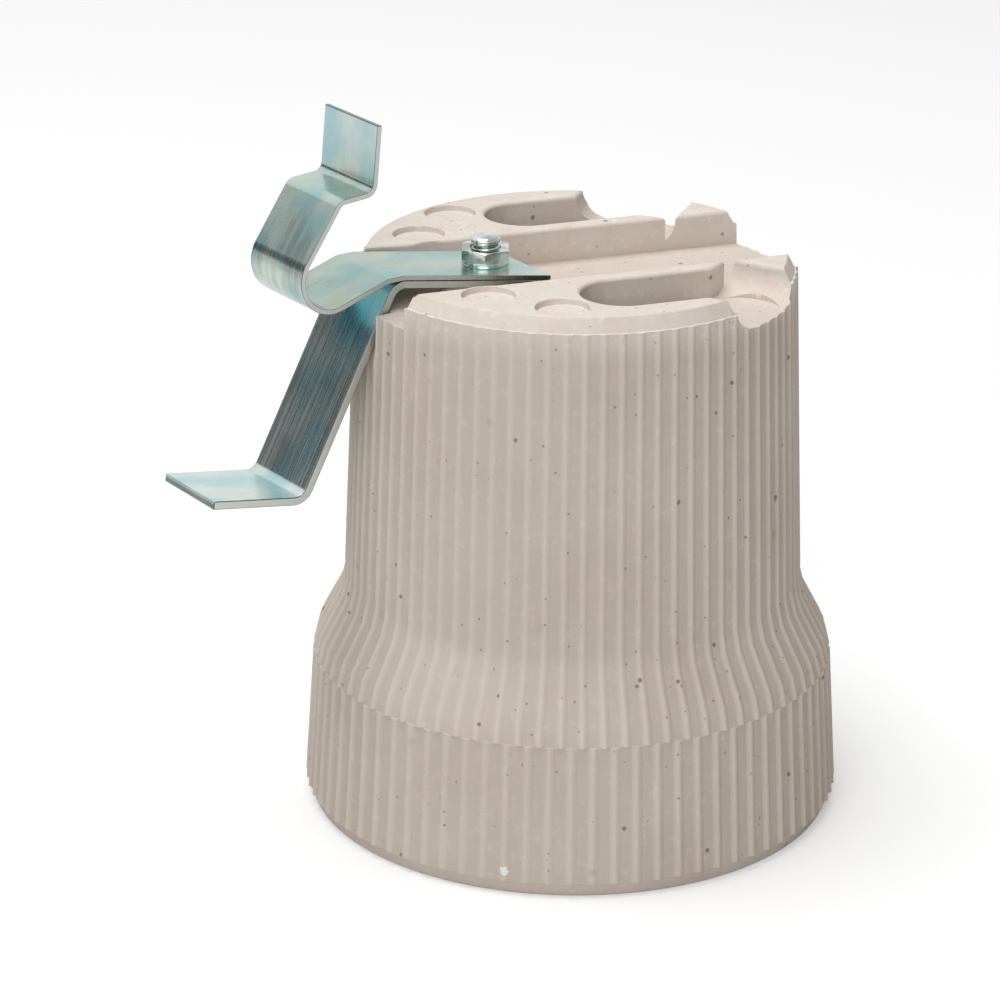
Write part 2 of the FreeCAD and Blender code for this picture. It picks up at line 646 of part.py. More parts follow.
def screw_shell():
    """The sheet sleeve that takes the lamp: curled edge, flange and fixing lug, thread left plain."""
    outer = "shell_outer_radius"
    inner = "shell_outer_radius - shell_wall"
    sleeve = turned("shell_sleeve", [
        (inner, "shell_bottom"),
        (f"{outer} + shell_curl / 2", "shell_bottom"),
        (outer, "shell_bottom + shell_curl"),
        (outer, "shell_thread_end"),
        (f"{outer} - shell_shoulder", "shell_thread_end + shell_shoulder"),
        (f"{outer} - shell_shoulder", "shell_top"),
        ("shell_flange_radius", "shell_top"),
        ("shell_flange_radius", "shell_top - shell_wall"),
        (f"{inner} - shell_shoulder", "shell_top - shell_wall"),
        (f"{inner} - shell_shoulder", "shell_thread_end + shell_shoulder"),
        (inner, "shell_thread_end"),
    ])
    lug = box("shell_lug", "lug_width", "shell_flange_radius - lug_reach", "shell_wall",
              ("fixing_x - lug_width / 2", "lug_reach", "shell_top - shell_wall"))
    hole = rod("shell_lug_hole", "fixing_hole_radius", "shell_wall * 3",
               ("fixing_x", "fixing_y", "shell_top - 2 * shell_wall"))
    cut("screw_shell", joined("shell_sheet", [sleeve, lug]), hole)


# The contacts and terminals

def live_strip():
    """The flat strip from the live terminal to the centre contact."""
    foot = box("live_strip_foot", "block_length", "block_width", "strip_thickness",
               ("block_start", "-pocket_centre - block_width / 2", "pocket_floor"))
    bridge = box("live_strip_bridge", "2 * strip_half_width", "pocket_centre - block_width / 2 + guide_bore",
                 "strip_thickness", ("-strip_half_width", "-pocket_centre + block_width / 2", "pocket_floor"))
    hole = rod("live_strip_hole", "fixing_hole_radius", "3 * strip_thickness",
               ("fixing_x", "-fixing_y", "pocket_floor - strip_thickness"))
    cut("live_contact_strip", joined("live_strip_blank", [foot, bridge]), hole)


def terminal(side, sign):
    """One terminal: block, wire clamp and wire screw."""
    foot = "pocket_floor + strip_thickness" if side == "live" else "pocket_floor"
    top = f"{foot} + block_height"
    block = box(f"{side}_block_blank", "block_length", "block_width", "block_height",
                ("block_start", f"{sign} * pocket_centre - block_width / 2", foot))
    taps = joined(f"{side}_block_taps", [
        rod(f"{side}_wire_tap", "wire_screw_radius + thread_clearance", "block_height + 2",
            ("wire_screw_x", f"{sign} * pocket_centre", f"{foot} - 1")),
        rod(f"{side}_fixing_tap", "fixing_radius + thread_clearance", "block_height + 2",
            ("fixing_x", f"{sign} * fixing_y", f"{foot} - 1")),
    ])
    cut(f"{side}_terminal_block", block, taps)

    low = f"{sign} * pocket_centre - clamp_side / 2"
    plate = box(f"{side}_clamp_plate", "clamp_side", "clamp_side", "clamp_thickness",
                ("wire_screw_x - clamp_side / 2", low, top))
    hole = rod(f"{side}_clamp_hole", "wire_screw_radius + clamp_clearance", "clamp_thickness + 2",
               ("wire_screw_x", f"{sign} * pocket_centre", f"{top} - 1"))
    cut(f"{side}_wire_clamp", plate, hole)

    seat = f"{top} + clamp_thickness"
    screw = turned(f"{side}_wire_screw_blank", [
        ("0", f"{seat} - wire_screw_length"),
        ("wire_screw_radius", f"{seat} - wire_screw_length"),
        ("wire_screw_radius", seat),
        ("wire_head_radius", seat),
        ("wire_head_radius", f"{seat} + wire_head_height * 0.8"),
        ("wire_head_radius * 0.9", f"{seat} + wire_head_height"),
        ("0", f"{seat} + wire_head_height"),
    ], ("wire_screw_x", f"{sign} * pocket_centre", "0"))
    slot = box(f"{side}_wire_screw_slot", "2 * wire_head_radius", "slot_width", "slot_depth",
               ("wire_screw_x - wire_head_radius", f"{sign} * pocket_centre - slot_width / 2",
                f"{seat} + wire_head_height - slot_depth"))
    cut(f"{side}_wire_screw", screw, slot)


def fixing_screw(side, sign, seat, end):
    """A screw driven up from the lamp's side into a terminal block."""
    screw = turned(f"{side}_fixing_blank", [
        ("0", f"{seat} - head_height"),
        ("head_radius", f"{seat} - head_height"),
        ("head_radius", seat),
        ("fixing_radius", seat),
        ("fixing_radius", end),
        ("0", end),
    ], ("fixing_x", f"{sign} * fixing_y", "0"))
    slot = box(f"{side}_fixing_slot", "slot_width", "2 * head_radius", "slot_depth",
               ("fixing_x - slot_width / 2", f"{sign} * fixing_y - head_radius", f"{seat} - head_height"))
    cut(f"{side}_fixing_screw", screw, slot)


def centre_contact():
    """The sprung centre contact: guide, plunger and spring."""
    turned("contact_guide", [
        ("guide_mouth", "guide_bottom"),
        ("guide_radius", "guide_bottom"),
        ("guide_radius", "pocket_floor"),
        ("guide_bore", "pocket_floor"),
        ("guide_bore", "guide_bottom + guide_base"),
        ("guide_mouth", "guide_bottom + guide_base"),
    ])
    collar = "guide_bottom + guide_base"
    tip = "guide_bottom - plunger_reach"
    turned("contact_plunger", [
        ("0", tip),
        ("plunger_radius * 0.6", tip),
        ("plunger_radius", f"{tip} + plunger_radius * 0.4"),
        ("plunger_radius", collar),
        ("plunger_collar", collar),
        ("plunger_collar", f"{collar} + plunger_collar_height"),
        ("plunger_spigot_radius", f"{collar} + plunger_collar_height"),
        ("plunger_spigot_radius", f"{collar} + plunger_collar_height + plunger_spigot_height"),
        ("0", f"{collar} + plunger_collar_height + plunger_spigot_height"),
    ])
    contact_spring()


def contact_spring():
    """The coil spring between the contact's collar and the live strip."""
    wire = size("spring_wire_radius")
    foot = size("guide_bottom") + size("guide_base") + size("plunger_collar_height") + wire
    rise = size("pocket_floor") - wire - foot
    sections = []
    steps = int(size("spring_turns") * SPRING_STEPS)
    for step in range(steps + 1):
        turn = math.tau * step / SPRING_STEPS
        outward = FreeCAD.Vector(math.cos(turn), math.sin(turn), 0)
        centre = outward * size("spring_radius") + FreeCAD.Vector(0, 0, foot + rise * step / steps)
        ring = []
        for side in range(SPRING_SIDES):
            angle = math.tau * (side + 0.5) / SPRING_SIDES
            ring.append(centre + outward * wire * math.cos(angle) + FreeCAD.Vector(0, 0, wire * math.sin(angle)))
        sections.append(Part.makePolygon(ring + ring[:1]))
    feature("contact_spring", Part.makeLoft(sections, True, True))


NODES = [
    "porcelain_body", "screw_shell", "live_contact_strip", "live_terminal_block", "neutral_terminal_block",
    "live_wire_clamp", "neutral_wire_clamp", "live_wire_screw", "neutral_wire_screw", "live_fixing_screw",
    "neutral_fixing_screw", "contact_guide", "contact_plunger", "contact_spring", "clip_lower_leaf",
    "clip_upper_leaf", "bracket_screw", "lock_washer", "bracket_nut",
]


def export_nodes():
    """Check every object, then write each piece's solid."""
    doc.recompute()
    for item in doc.Objects:
        if "Invalid" in item.State or "Error" in item.State:
            raise RuntimeError(f"{item.Name} failed: {item.State}")
    shapes = {}
    for name in NODES:
        shape = doc.getObject(name).Shape
        if shape.isNull() or not shape.isValid() or not shape.Solids:
            raise RuntimeError(f"{name} has no valid solid")
        shapes[name] = shape
    os.makedirs("parts", exist_ok=True)
    for name, shape in shapes.items():
        doc.getObject(name).Label = name
        shape.exportStep(f"parts/{name}.step")
        print(name, len(shape.Solids), round(shape.Volume, 2))


porcelain_body()
lower_leaf()
upper_leaf()
bracket_fasteners()
screw_shell()
live_strip()
for terminal_side, terminal_sign in SIDES.items():
    terminal(terminal_side, terminal_sign)
fixing_screw("live", SIDES["live"], "live_screw_seat", "pocket_floor + strip_thickness + block_height")
fixing_screw("neutral", SIDES["neutral"], "shell_top - shell_wall", "pocket_floor + block_height")
centre_contact()
export_nodes()
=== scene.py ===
"""A large porcelain screw lamp holder with its folded spring clip, dressed and set on a pale table.

Lengths are millimetres, angles degrees and scales 1/m, but the lamps, table and card are placed and sized in
metres.
"""

import logging
import math
from dataclasses import dataclass
from enum import Enum

import bmesh
import bpy
from mathutils import Matrix, Vector


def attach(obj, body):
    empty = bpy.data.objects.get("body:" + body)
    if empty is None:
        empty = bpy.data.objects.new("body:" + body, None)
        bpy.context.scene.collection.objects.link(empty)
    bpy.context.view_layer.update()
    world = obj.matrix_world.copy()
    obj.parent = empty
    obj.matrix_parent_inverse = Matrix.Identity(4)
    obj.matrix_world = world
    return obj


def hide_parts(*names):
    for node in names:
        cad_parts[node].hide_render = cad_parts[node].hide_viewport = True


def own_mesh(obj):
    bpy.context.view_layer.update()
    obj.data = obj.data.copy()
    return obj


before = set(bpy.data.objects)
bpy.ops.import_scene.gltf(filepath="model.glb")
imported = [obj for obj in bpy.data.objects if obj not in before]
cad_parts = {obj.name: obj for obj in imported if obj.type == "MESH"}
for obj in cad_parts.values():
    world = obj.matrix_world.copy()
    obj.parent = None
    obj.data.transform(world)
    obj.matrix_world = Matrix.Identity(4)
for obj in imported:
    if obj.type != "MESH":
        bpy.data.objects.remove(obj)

logging.basicConfig(level=logging.INFO, format="%(message)s")
LOG = logging.getLogger("lamp_holder")

Piece = bpy.types.Object
Material = bpy.types.Material
Node = bpy.types.Node
Socket = bpy.types.NodeSocket
Pair = tuple[float, float]
Triple = tuple[float, float, float]
Paint = tuple[float, float, float, float]

MM = 0.001

# What holds for every piece
JOINED = 0.002
FLAT_ANGLE = 0.5
SMOOTH_ANGLE = 50.0
RIDGE_ANGLE = 60.0
ROUNDING_FACES = 2
UP: Triple = (0.0, 0.0, 1.0)
WHITE: Paint = (1.0, 1.0, 1.0, 1.0)


class Body(Enum):
    """The rigid bodies that the pieces ride on."""

    HOLDER = "holder"
    CENTRE_CONTACT = "centre_contact"
    LIVE_SCREW = "live_screw"
    LIVE_CLAMP = "live_clamp"
    NEUTRAL_SCREW = "neutral_screw"
    NEUTRAL_CLAMP = "neutral_clamp"


class Slot(Enum):
    """The record's material slots."""

    PORCELAIN = "porcelain"
    SPRING_STEEL = "zinc_spring_steel"
    FASTENER = "plated_fastener"
    BRASS = "brass"
    NICKEL = "nickel_brass"
    WIRE = "spring_wire"


# Working on meshes


def deselect_all() -> None:
    """Leave object mode with nothing selected."""
    if bpy.context.object and bpy.context.object.mode != "OBJECT":
        bpy.ops.object.mode_set(mode="OBJECT")
    bpy.ops.object.select_all(action="DESELECT")


def make_active(piece: Piece) -> None:
    """Select one object alone and make it the active one.

    Args:
        piece: the object to work on.
    """
    deselect_all()
    piece.select_set(True)
    bpy.context.view_layer.objects.active = piece


def edit_whole(piece: Piece) -> None:
    """Open an object in edit mode with all of it selected.

    Args:
        piece: the object to edit.
    """
    make_active(piece)
    bpy.ops.object.mode_set(mode="EDIT")
    bpy.ops.mesh.select_all(action="SELECT")


def apply_modifiers(piece: Piece) -> None:
    """Turn an object's modifiers into mesh, in their order.

    Args:
        piece: the object whose modifiers are applied.
    """
    make_active(piece)
    for modifier in list(piece.modifiers):
        bpy.ops.object.modifier_apply(modifier=modifier.name)


def merged_copy(node: str, name: str) -> Piece:
    """Copy a CAD node, join its loose triangles and dissolve the lines inside its flat faces.

    Args:
        node: the CAD node's name.
        name: the new piece's name.

    Returns:
        The copy, at the origin.
    """
    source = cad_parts[node]
    piece = bpy.data.objects.new(name, source.data.copy())
    bpy.context.scene.collection.objects.link(piece)
    piece.data.materials.clear()
    edit_whole(piece)
    bpy.ops.mesh.customdata_custom_splitnormals_clear()
    bpy.ops.mesh.remove_doubles(threshold=JOINED * MM)
    bpy.ops.mesh.dissolve_limited(angle_limit=math.radians(FLAT_ANGLE))
    bpy.ops.object.mode_set(mode="OBJECT")
    return piece


def smooth(piece: Piece, angle: float) -> None:
    """Shade a piece smooth, but for its edges sharper than an angle."""
    make_active(piece)
    bpy.ops.object.shade_smooth_by_angle(angle=math.radians(angle))


def level_faces(piece: Piece) -> None:
    """Let the large faces of a smoothly shaded piece look flat, and only its roundings curved.

    Args:
        piece: the piece whose shading is weighted by its faces' areas.
    """
    weighting = piece.modifiers.new("weighting", "WEIGHTED_NORMAL")
    weighting.keep_sharp = True
    weighting.weight = 100
    apply_modifiers(piece)


def soften_edges(piece: Piece, width: float, angle: float) -> None:
    """Round the sharp edges of a piece and smooth its shading.

    Args:
        piece: the piece to soften.
        width: the rounding's width.
        angle: edges sharper than this many degrees are rounded.
    """
    bevel = piece.modifiers.new("rounding", "BEVEL")
    bevel.width = width * MM
    bevel.segments = ROUNDING_FACES
    bevel.limit_method = "ANGLE"
    bevel.angle_limit = math.radians(angle)
    bevel.use_clamp_overlap = True
    apply_modifiers(piece)
    smooth(piece, SMOOTH_ANGLE)
    level_faces(piece)


def settle(piece: Piece, body: Body, slot: Slot, material: Material, *nodes: str) -> None:
    """Give a finished piece its material, its body and the CAD nodes that it stands for.

    Args:
        piece: the finished piece.
        body: the body it rides on.
        slot: the record's slot; not used.
        material: its material.
        nodes: the CAD nodes that it replaces.
    """
    piece.data.materials.clear()
    piece.data.materials.append(material)
    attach(piece, body.value)
    if nodes:
        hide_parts(*nodes)
    LOG.info("piece %s: %d faces", piece.name, len(piece.data.polygons))


def refine(node: str, name: str, width: float, angle: float, body: Body, slot: Slot,
           material: Material) -> None:
    """Let a softened copy stand for a CAD node.

    Args:
        node: the CAD node's name.
        name: the copy's name.
        width: its roundings' width.
        angle: edges sharper than this many degrees are rounded.
        body: the body it rides on.
        slot: the record's slot, handed on to settle.
        material: its material.
    """
    piece = merged_copy(node, name)
    soften_edges(piece, width, angle)
    settle(piece, body, slot, material, node)


def dress_node(node: str, material: Material) -> None:
    """Give a CAD node that stays as it is a better material.

    Args:
        node: the CAD node's name.
        material: the material that takes the place of its plain one.
    """
    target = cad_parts[node]
    target.data.materials.clear()
    target.data.materials.append(material)
    LOG.info("node %s: dressed in %s", node, material.name)


@dataclass(frozen=True)
class Ridge:
    """A rounded ridge wound about the Z axis, which fades into its root at both ends.

    core and crest are radii, and a crest less than the core stands inwards. width lies along the axis, start is
    the level of the first section, steps are the faces in a turn, and corners those of a section. Each end is
    drawn out by smaller sections, end_turn apart, whose end_sizes are shares of a whole one.
    """

    core: float
    crest: float
    width: float
    pitch: float
    start: float
    turns: int
    steps: int
    corners: int
    end_turn: float = 7.5
    end_sizes: tuple[float, ...] = (0.94, 0.8, 0.58, 0.3, 0.08)

    def wind(self, name: str) -> Piece:
        """Make the ridge.

        Args:
            name: the new piece's name.

        Returns:
            The ridge, closed at both ends.
        """
        deselect_all()
        bpy.ops.mesh.primitive_circle_add(vertices=self.corners, radius=1.0, fill_type="NOTHING",
                                          rotation=(math.pi / 2, 0, 0))
        ridge = bpy.context.object
        ridge.name = name
        bpy.ops.object.transform_apply(location=True, rotation=True, scale=True)
        edit_whole(ridge)
        bpy.ops.transform.resize(value=(abs(self.crest - self.core) * MM, 1.0, self.width / 2 * MM))
        bpy.ops.transform.translate(value=(self.core * MM, 0.0, self.start * MM))
        bpy.ops.object.mode_set(mode="OBJECT")
        winding = ridge.modifiers.new("winding", "SCREW")
        winding.axis = "Z"
        winding.angle = math.tau
        winding.screw_offset = self.pitch * MM
        winding.iterations = self.turns
        winding.steps = self.steps
        winding.render_steps = self.steps
        winding.use_merge_vertices = False
        apply_modifiers(ridge)
        last = len(ridge.data.vertices) - self.corners
        self.fade(ridge, 0, self.start, -1)
        self.fade(ridge, last, self.start + self.pitch * self.turns, 1)
        edit_whole(ridge)
        bpy.ops.mesh.fill_holes(sides=self.corners)
        bpy.ops.mesh.normals_make_consistent(inside=False)
        bpy.ops.object.mode_set(mode="OBJECT")
        smooth(ridge, RIDGE_ANGLE)
        return ridge

    def fade(self, ridge: Piece, first: int, height: float, way: int) -> None:
        """Let one end fade into the root.

        Args:
            ridge: the ridge, open at both ends.
            first: the first vertex of its end section.
            height: the level of that section's middle.
            way: 1 at the upper end, -1 at the lower.
        """
        edit_whole(ridge)
        bpy.ops.mesh.select_mode(type="VERT")
        bpy.ops.mesh.select_all(action="DESELECT")
        bpy.ops.object.mode_set(mode="OBJECT")
        for vertex in ridge.data.vertices[first:first + self.corners]:
            vertex.select = True
        bpy.ops.object.mode_set(mode="EDIT")
        turn = way * math.radians(self.end_turn)
        rise = self.pitch * MM * turn / math.tau
        bearing, level, size = 0.0, height * MM, 1.0
        for share in self.end_sizes:
            bearing += turn
            level += rise
            bpy.ops.mesh.extrude_region_move(TRANSFORM_OT_translate={"value": (0.0, 0.0, rise)})
            bpy.ops.transform.rotate(value=-turn, orient_axis="Z", center_override=(0.0, 0.0, 0.0))
            root = (self.core * MM * math.cos(bearing), self.core * MM * math.sin(bearing), level)
            bpy.ops.transform.resize(value=(share / size,) * 3, center_override=root)
            size = share
        bpy.ops.object.mode_set(mode="OBJECT")


# Materials


class Graph:
    """A material's nodes, with short ways to add and join them."""

    def __init__(self, name: str) -> None:
        """Start a material with its output, a principled shader and object coordinates.

        Args:
            name: the material's name.
        """
        self.material = bpy.data.materials.new(name)
        self.material.use_nodes = True
        self.tree = self.material.node_tree
        self.tree.nodes.clear()
        self.shader = self.add("BsdfPrincipled")
        self.add("OutputMaterial", Surface=self.shader.outputs["BSDF"])
        coordinates = self.add("TexCoord")
        self.place = coordinates.outputs["Object"]
        self.normal = coordinates.outputs["Normal"]
        self.tint: object = WHITE

    def feed(self, target: Socket, value: object) -> None:
        """Link a socket to another, or set it to a plain value.

        Args:
            target: the socket that is fed.
            value: the other socket, or the plain value.
        """
        if isinstance(value, Socket):
            self.tree.links.new(value, target)
        else:
            target.default_value = value

    def supply(self, node: Node, **values: object) -> Node:
        """Feed a node's inputs.

        Args:
            node: the node.
            values: a socket or plain value for each input, by its name with _ for a space.

        Returns:
            The same node.
        """
        for name, value in values.items():
            self.feed(node.inputs[name.replace("_", " ")], value)
        return node

    def add(self, kind: str, **values: object) -> Node:
        """Add a shader node of a kind, such as Math, and feed its inputs."""
        return self.supply(self.tree.nodes.new("ShaderNode" + kind), **values)

    def mapped(self, scale: Triple, turn: float = 0.0) -> Socket:
        """Object coordinates turned about Z and then scaled.

        Args:
            scale: the scale along each axis.
            turn: the turn about Z.

        Returns:
            The scaled coordinates.
        """
        turned = self.add("VectorRotate", Vector=self.place, Angle=math.radians(turn))
        turned.rotation_type = "Z_AXIS"
        return self.add("Mapping", Vector=turned.outputs["Vector"], Scale=scale).outputs["Vector"]

    def noise(self, vector: Socket, scale: float, detail: float = 3.0, roughness: float = 0.55) -> Socket:
        """A noise pattern's value, 0 to 1, at a scale on given coordinates."""
        return self.add("TexNoise", Vector=vector, Scale=scale, Detail=detail, Roughness=roughness).outputs["Fac"]

    def compute(self, operation: str, first: object, second: object = 0.0) -> Socket:
        """A math node's result.

        Args:
            operation: the node's operation, such as ADD.
            first: its first value or socket.
            second: its second value or socket.

        Returns:
            The result.
        """
        node = self.add("Math")
        node.operation = operation
        self.feed(node.inputs[0], first)
        self.feed(node.inputs[1], second)
        return node.outputs[0]

    def times(self, first: object, second: object) -> Socket:
        """The product of two values or sockets."""
        return self.compute("MULTIPLY", first, second)

    def measure(self, operation: str, source: Socket, fixed: Vector) -> Socket:
        """A vector math node's value.

        Args:
            operation: DISTANCE or DOT_PRODUCT.
            source: the vector that changes over the surface.
            fixed: the vector that it is measured against.

        Returns:
            The value.
        """
        node = self.add("VectorMath")
        node.operation = operation
        self.feed(node.inputs[0], source)
        self.feed(node.inputs[1], fixed)
        return node.outputs["Value"]

    def between(self, value: object, low: float, high: float, start: float = 0.0, end: float = 1.0) -> Socket:
        """A value eased from start to end as it goes from low to high.

        Args:
            value: the value or socket that is read.
            low: the value that gives start.
            high: the value that gives end.
            start: the result at low.
            end: the result at high.

        Returns:
            The eased value.
        """
        node = self.add("MapRange", Value=value, From_Min=low, From_Max=high, To_Min=start, To_Max=end)
        node.interpolation_type = "SMOOTHSTEP"
        return node.outputs["Result"]

    def blend(self, share: object, first: object, second: object, how: str = "MIX") -> Socket:
        """Two colours mixed.

        Args:
            share: how much of the second, 0 to 1.
            first: a colour or socket.
            second: a colour or socket.
            how: the way they mix.

        Returns:
            The mixed colour.
        """
        node = self.add("Mix", Factor=share)
        node.data_type = "RGBA"
        node.blend_type = how
        colours = [socket for socket in node.inputs if socket.type == "RGBA"]
        self.feed(colours[0], first)
        self.feed(colours[1], second)
        return next(socket for socket in node.outputs if socket.type == "RGBA")

    def lay(self, share: object, tone: object) -> None:
        """Lay a colour or socket over the colour so far, by a share from 0 to 1."""
        self.tint = self.blend(share, self.tint, tone)

    def split(self) -> tuple[Socket, Socket, Socket]:
        """The three object coordinates, each by itself."""
        outputs = self.add("SeparateXYZ", Vector=self.place).outputs
        return outputs["X"], outputs["Y"], outputs["Z"]

    def near(self, point: Triple, inner: float, outer: float) -> Socket:
        """A soft ball round a point: 1 within the inner radius, 0 past the outer."""
        away = self.measure("DISTANCE", self.place, Vector(point) * MM)
        return self.between(away, inner * MM, outer * MM, 1.0, 0.0)

    def beyond(self, line: Triple, start: float, end: float) -> Socket:
        """Everything beyond a distance along a unit vector, rising softly from 0 at start to 1 at end."""
        return self.between(self.measure("DOT_PRODUCT", self.place, Vector(line)), start * MM, end * MM)

    def facing(self, direction: Triple) -> Socket:
        """How squarely a face looks along a unit vector, either way, from 0 to 1."""
        return self.compute("ABSOLUTE", self.measure("DOT_PRODUCT", self.normal, Vector(direction)))

    def grain(self, height: Socket, depth: float, strength: float) -> None:
        """Raise the surface by a height pattern, on top of any raised before.

        Args:
            height: the pattern, 0 to 1.
            depth: what a full step of it is worth.
            strength: how much of it shows.
        """
        node = self.add("Bump", Height=height, Strength=strength, Distance=depth * MM)
        earlier = self.shader.inputs["Normal"]
        if earlier.is_linked:
            self.supply(node, Normal=earlier.links[0].from_socket)
        self.feed(earlier, node.outputs["Normal"])


def at_bearing(degrees: float) -> Triple:
    """A level unit vector at a bearing from +X."""
    return math.cos(math.radians(degrees)), math.sin(math.radians(degrees)), 0.0


def colour(red: float, green: float, blue: float) -> Paint:
    """A colour as the shaders need it.

    Args:
        red: its red as the eye sees it, 0 to 255.
        green: its green.
        blue: its blue.

    Returns:
        The linear colour, with full cover.
    """
    def linear(level: float) -> float:
        """One channel from its display level."""
        share = level / 255
        return share / 12.92 if share <= 0.04045 else ((share + 0.055) / 1.055) ** 2.4
    return linear(red), linear(green), linear(blue), 1.0


@dataclass(frozen=True)
class Specks:
    """Scattered specks of one kind: cells per metre, and their largest radius and soft edge as shares of a cell."""

    scale: float
    size: float
    blur: float
    share: float
    tone: Paint

    def scatter(self, graph: Graph) -> None:
        """Scatter the specks over a material.

        Args:
            graph: the material's nodes.
        """
        cells = graph.add("TexVoronoi", Vector=graph.place, Scale=self.scale)
        channels = graph.add("SeparateColor", Color=cells.outputs["Color"])
        chosen = graph.between(channels.outputs["Red"], 0.5, 0.95, 0.0, self.size)
        inside = graph.compute("SUBTRACT", chosen, cells.outputs["Distance"])
        graph.lay(graph.times(graph.between(inside, 0.0, self.blur), self.share), self.tone)


@dataclass(frozen=True)
class RawPorcelain:
    """Unglazed porcelain: matte cream grey with iron specks, grainy and a little dusty on its top, with painted
    light on top and ribs.
    """

    body: Paint = colour(206, 196, 184)
    warm: Paint = colour(199, 183, 171)
    # painted highlight on the rib crests
    crest: Paint = colour(214, 205, 192)
    # painted shade in the flutes
    flute_shade: Paint = colour(188, 180, 168)
    # the top face's colour: painted light from above, partly pale dust
    top: Paint = colour(219, 211, 201)
    blush: Paint = colour(214, 196, 184)
    chalk: Paint = colour(232, 226, 217)
    fresh: Paint = colour(246, 243, 238)
    specks: tuple[Specks, ...] = (Specks(230.0, 0.17, 0.12, 0.3, colour(164, 140, 118)),
                                  Specks(400.0, 0.15, 0.06, 0.66, colour(96, 66, 38)),
                                  Specks(800.0, 0.17, 0.07, 0.5, colour(96, 66, 38)))
    rib_count: int = 78
    # how much of the painted rib shade and highlight shows
    rib_light_share: float = 0.45
    rib_top: float = 66.5
    rib_radius: float = 25.4
    parting_height: float = 18.6
    lip_height: float = 1.8
    lip_blur: float = 0.3
    top_start: float = 62.5
    top_full: float = 66.8
    # how much of the painted top light shows
    top_light_share: float = 0.85
    cloud_scale: float = 55.0
    blush_scale: float = 330.0
    chalk_scale: float = 900.0
    chip_place: Triple = (-18.5, -26.7, 3.0)
    chip_reach: Pair = (0.1, 1.1)
    chip_scale: float = 1500.0
    grain_scale: float = 2600.0
    swell_scale: float = 420.0
    roughness: float = 0.82
    specular: float = 0.3

    def make(self) -> Material:
        """Build the material.

        Returns:
            The material.
        """
        graph = Graph("raw_porcelain")
        graph.tint = self.body
        graph.lay(graph.between(graph.noise(graph.place, self.cloud_scale, 4.0), 0.35, 0.7), self.warm)
        self.paint_rib_shade_and_highlight(graph)
        self.tint_top(graph)
        for kind in self.specks:
            kind.scatter(graph)
        ragged = graph.between(graph.noise(graph.place, self.chip_scale, 2.0), 0.3, 0.7, -0.3, 0.3)
        chip = graph.compute("ADD", graph.near(self.chip_place, *self.chip_reach), ragged)
        graph.lay(graph.between(chip, 0.45, 0.6), self.fresh)
        graph.supply(graph.shader, Base_Color=graph.tint, Roughness=self.roughness, Specular_IOR_Level=self.specular)
        graph.grain(graph.noise(graph.place, self.grain_scale, 4.0, 0.7), 0.05, 0.8)
        graph.grain(graph.noise(graph.place, self.swell_scale, 3.0), 0.12, 0.5)
        return graph.material

    def paint_rib_shade_and_highlight(self, graph: Graph) -> None:
        """Lay painted shade in the flutes and a painted highlight on the crests of both rows of ribs.

        Args:
            graph: the material's nodes.
        """
        across, deep, height = graph.split()
        radius = graph.compute("SQRT", graph.compute("ADD", graph.times(across, across), graph.times(deep, deep)))
        bearing = graph.compute("ARCTAN2", deep, across)
        upper = graph.compute("GREATER_THAN", height, self.parting_height * MM)
        phase = graph.compute("ADD", graph.times(bearing, float(self.rib_count)), graph.times(upper, math.pi))
        wave = graph.compute("COSINE", phase)
        on_side = graph.times(graph.compute("LESS_THAN", height, self.rib_top * MM),
                              graph.compute("GREATER_THAN", radius, self.rib_radius * MM))
        on_side = graph.times(on_side, graph.between(height, self.lip_height * MM,
                                                     (self.lip_height + self.lip_blur) * MM))
        # painted shade in the flutes, then a painted highlight on the crests
        for low, high, tone in ((0.35, -0.25, self.flute_shade), (0.45, 0.8, self.crest)):
            mask = graph.times(graph.between(wave, low, high), on_side)
            graph.lay(graph.times(mask, self.rib_light_share), tone)

    def tint_top(self, graph: Graph) -> None:
        """Lighten the top face as painted light from above and partly dust, and lay a warm mottle and pale dust over
        all, thickest on the top.

        Args:
            graph: the material's nodes.
        """
        on_top = graph.between(graph.split()[2], self.top_start * MM, self.top_full * MM)
        # painted light from above on the top face, partly pale dust
        graph.lay(graph.times(on_top, self.top_light_share), self.top)
        mottle = graph.between(graph.noise(graph.place, self.blush_scale, 4.0, 0.65), 0.46, 0.64)
        dust = graph.between(graph.noise(graph.place, self.chalk_scale, 5.0, 0.7), 0.54, 0.7)
        for mask, on_all, more, tone in ((mottle, 0.2, 0.35, self.blush), (dust, 0.22, 0.5, self.chalk)):
            graph.lay(graph.times(mask, graph.compute("ADD", graph.times(on_top, more), on_all)), tone)


